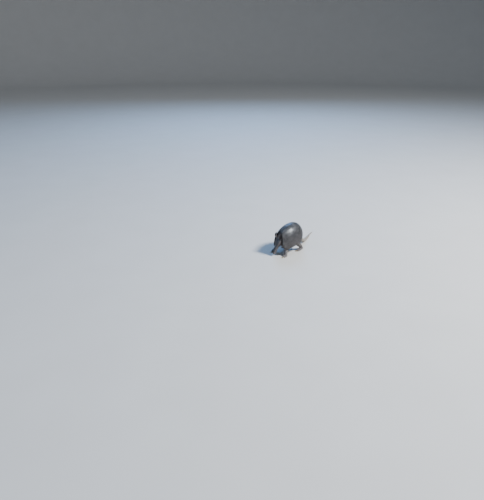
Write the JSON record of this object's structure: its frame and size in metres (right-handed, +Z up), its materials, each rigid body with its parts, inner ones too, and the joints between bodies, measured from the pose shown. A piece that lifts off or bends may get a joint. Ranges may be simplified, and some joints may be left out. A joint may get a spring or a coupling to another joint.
{
  "type": "nine-banded armadillo",
  "caption": "Life-size still model of a nine-banded armadillo standing with its head lowered to the ground and its tail trailing behind.",
  "frame": {"origin": "on the floor, at the middle of the footprint of the whole animal, tail included", "axes": "+Z up; the animal faces -Y, so +Y runs towards its tail; +X is its left side"},
  "size_m": [0.1588, 0.5416, 0.1959],
  "materials": {
    "shell": "horny grey-brown scutes over bone, semi-gloss where worn",
    "head_shield": "small horny scales, satin",
    "skin": "wrinkled pinkish grey skin with small scales and sparse hair",
    "ear": "thin pebbled dark skin",
    "tail": "pale horny rings and scales, satin",
    "eye": "wet black",
    "claw": "smooth yellowish horn"
  },
  "bodies": {
    "root": {"head": "skin", "neck": "skin", "trunk": "skin", "ear_left": "ear", "ear_right": "ear", "eye_left": "eye", "eye_right": "eye", "head_shield": "head_shield", "shoulder_shield": "shell", "hip_shield": "shell", "band_1": "shell", "band_2": "shell", "band_3": "shell", "band_4": "shell", "band_5": "shell", "band_6": "shell", "band_7": "shell", "band_8": "shell", "band_9": "shell", "foreleg_left": "skin", "forefoot_left": "skin", "hindleg_left": "skin", "hindfoot_left": "skin", "claw_forefoot_left_1": "claw", "claw_forefoot_left_2": "claw", "claw_forefoot_left_3": "claw", "claw_forefoot_left_4": "claw", "claw_hindfoot_left_1": "claw", "claw_hindfoot_left_2": "claw", "claw_hindfoot_left_3": "claw", "claw_hindfoot_left_4": "claw", "claw_hindfoot_left_5": "claw", "foreleg_right": "skin", "forefoot_right": "skin", "hindleg_right": "skin", "hindfoot_right": "skin", "claw_forefoot_right_1": "claw", "claw_forefoot_right_2": "claw", "claw_forefoot_right_3": "claw", "claw_forefoot_right_4": "claw", "claw_hindfoot_right_1": "claw", "claw_hindfoot_right_2": "claw", "claw_hindfoot_right_3": "claw", "claw_hindfoot_right_4": "claw", "claw_hindfoot_right_5": "claw", "tail_root": "tail", "tail_middle": "tail", "tail_end": "tail"}
  },
  "joints": []
}
